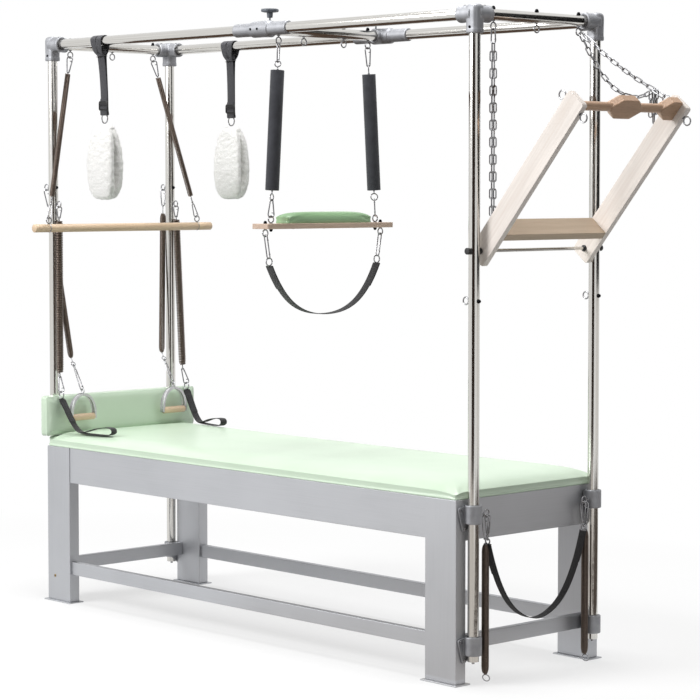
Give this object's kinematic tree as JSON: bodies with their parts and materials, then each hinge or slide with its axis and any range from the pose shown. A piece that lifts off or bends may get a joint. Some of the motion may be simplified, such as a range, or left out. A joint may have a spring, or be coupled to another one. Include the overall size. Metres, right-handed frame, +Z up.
{
  "type": "pilates trapeze table",
  "caption": "Padded aluminium pilates table under a steel tube tower, with sliding trapeze, push-through bar, roll-down bar, springs, straps and cuffs.",
  "frame": {"origin": "middle of the footprint of the whole table, with its bars and straps, on the floor", "axes": "+X along the table towards the push-through bar, -Y towards the front, +Z up"},
  "size_m": [2.8256, 0.888, 2.2675],
  "materials": {
    "frame_aluminium": "fine brushed, clear anodised",
    "tube_steel": "polished stainless",
    "casting_grey": "satin grey, lightly cast",
    "hardware_steel": "bright plated",
    "spring_steel": "dark brown oiled spring wire",
    "vinyl_mint": "soft satin vinyl",
    "vinyl_green": "soft satin vinyl",
    "ply_wood": "clear lacquer, plied edges",
    "beech_wood": "clear lacquer",
    "foam_grip": "matt closed-cell foam",
    "black_plastic": "moulded",
    "web_black": "woven webbing",
    "web_grey": "woven webbing",
    "fleece_white": "deep pile"
  },
  "bodies": {
    "table": {"left_end_frame": "frame_aluminium", "right_end_frame": "frame_aluminium", "front_apron": "frame_aluminium", "back_apron": "frame_aluminium", "front_stretcher": "frame_aluminium", "back_stretcher": "frame_aluminium", "bed_deck": "ply_wood", "bed_pad": "vinyl_mint", "headboard": "vinyl_mint", "post_front_left": "tube_steel", "post_front_right": "tube_steel", "post_back_left": "tube_steel", "post_back_right": "tube_steel", "side_rail_front": "tube_steel", "side_rail_back": "tube_steel", "cross_rail_left": "tube_steel", "cross_rail_right": "tube_steel", "corner_front_left": "casting_grey", "corner_front_right": "casting_grey", "corner_back_left": "casting_grey", "corner_back_right": "casting_grey", "pivot_rod": "tube_steel", "loose_chain": "hardware_steel", "holding_chain": "hardware_steel"},
    "carriage": {"cross_bar": "tube_steel", "cross_bar_tee_front": "casting_grey", "cross_bar_tee_back": "casting_grey"},
    "trapeze": {"trapeze_hanger_front": "hardware_steel", "trapeze_hanger_back": "hardware_steel", "trapeze_sleeve_front": "foam_grip", "trapeze_sleeve_back": "foam_grip", "trapeze_plank": "ply_wood", "trapeze_cushion": "vinyl_green"},
    "sling": {"trapeze_sling": "web_black"},
    "push_bar": {"push_bar_arm_front": "ply_wood", "push_bar_arm_back": "ply_wood", "push_bar_shelf": "ply_wood", "push_bar_handle": "beech_wood"},
    "roll_down": {"roll_down_bar": "beech_wood", "roll_down_spring_front": "spring_steel", "roll_down_spring_back": "spring_steel"},
    "end_loop": {"end_strap": "web_black"},
    "clamp_knob_front": {"knob_front": "black_plastic"},
    "arm_line_front": {"arm_spring_front": "spring_steel", "arm_handle_front": "hardware_steel"},
    "hand_grip_front": {"arm_grip_front": "beech_wood"},
    "leg_line_front": {"leg_spring_front": "spring_steel", "leg_strap_front": "web_black"},
    "cuff_line_front": {"cuff_strap_front": "web_grey", "cuff_front": "fleece_white"},
    "end_line_front": {"end_spring_front": "spring_steel"},
    "clamp_knob_back": {"knob_back": "black_plastic"},
    "arm_line_back": {"arm_spring_back": "spring_steel", "arm_handle_back": "hardware_steel"},
    "hand_grip_back": {"arm_grip_back": "beech_wood"},
    "leg_line_back": {"leg_spring_back": "spring_steel", "leg_strap_back": "web_black"},
    "cuff_line_back": {"cuff_strap_back": "web_grey", "cuff_back": "fleece_white"},
    "end_line_back": {"end_spring_back": "spring_steel"}
  },
  "joints": [
    {"name": "carriage_slide", "type": "slide", "parent": "table", "child": "carriage", "axis": [-1, 0, 0], "range_m": [-0.84, 0.68]},
    {"name": "knob_turn_front", "type": "hinge", "parent": "carriage", "child": "clamp_knob_front", "pos_m": [-0.0844, -0.2605, 2.25], "axis": [0, 0, 1], "range_deg": [0, 360]},
    {"name": "knob_turn_back", "type": "hinge", "parent": "carriage", "child": "clamp_knob_back", "pos_m": [-0.0844, 0.2605, 2.25], "axis": [0, 0, 1], "range_deg": [0, 360]},
    {"name": "trapeze_swing", "type": "hinge", "parent": "carriage", "child": "trapeze", "pos_m": [-0.0844, 0, 2.145], "axis": [0, -1, 0], "range_deg": [-45, 45]},
    {"name": "sling_swing", "type": "hinge", "parent": "trapeze", "child": "sling", "pos_m": [-0.0844, 0, 1.457], "axis": [0, -1, 0], "range_deg": [-45, 45]},
    {"name": "push_bar_swing", "type": "hinge", "parent": "table", "child": "push_bar", "pos_m": [0.9636, 0, 1.426], "axis": [0, -1, 0], "range_deg": [0, 80], "deforming": ["holding_chain", "loose_chain"]},
    {"name": "roll_down_swing", "type": "hinge", "parent": "table", "child": "roll_down", "pos_m": [-1.3524, 0, 2.145], "axis": [0, -1, 0], "range_deg": [0, 20]},
    {"name": "arm_swing_front", "type": "hinge", "parent": "table", "child": "arm_line_front", "pos_m": [-1.3984, -0.2945, 1.62], "axis": [1, 0, 0], "range_deg": [0, 10]},
    {"name": "grip_spin_front", "type": "hinge", "parent": "arm_line_front", "child": "hand_grip_front", "pos_m": [-1.2541, -0.23, 0.724], "axis": [0, 1, 0], "continuous": true},
    {"name": "leg_swing_front", "type": "hinge", "parent": "table", "child": "leg_line_front", "pos_m": [-1.3154, -0.2945, 1.553], "axis": [-1, 0, 0], "range_deg": [0, 35]},
    {"name": "cuff_swing_front", "type": "hinge", "parent": "table", "child": "cuff_line_front", "pos_m": [-1.0144, -0.2945, 2.194], "axis": [1, 0, 0], "range_deg": [-45, 45]},
    {"name": "end_spring_swing_front", "type": "hinge", "parent": "table", "child": "end_line_front", "pos_m": [0.9716, -0.2457, 0.5552], "axis": [0, -1, 0], "range_deg": [0, 60]},
    {"name": "arm_swing_back", "type": "hinge", "parent": "table", "child": "arm_line_back", "pos_m": [-1.3984, 0.2945, 1.62], "axis": [-1, 0, 0], "range_deg": [0, 10]},
    {"name": "grip_spin_back", "type": "hinge", "parent": "arm_line_back", "child": "hand_grip_back", "pos_m": [-1.2541, 0.23, 0.724], "axis": [0, 1, 0], "continuous": true},
    {"name": "leg_swing_back", "type": "hinge", "parent": "table", "child": "leg_line_back", "pos_m": [-1.3154, 0.2945, 1.553], "axis": [1, 0, 0], "range_deg": [0, 35]},
    {"name": "cuff_swing_back", "type": "hinge", "parent": "table", "child": "cuff_line_back", "pos_m": [-0.9584, 0.2945, 2.194], "axis": [1, 0, 0], "range_deg": [-45, 45]},
    {"name": "end_spring_swing_back", "type": "hinge", "parent": "table", "child": "end_line_back", "pos_m": [0.9716, 0.2457, 0.5552], "axis": [0, -1, 0], "range_deg": [0, 60]},
    {"name": "end_strap_swing", "type": "hinge", "parent": "table", "child": "end_loop", "pos_m": [0.9716, 0, 0.5552], "axis": [0, -1, 0], "range_deg": [0, 60]}
  ]
}
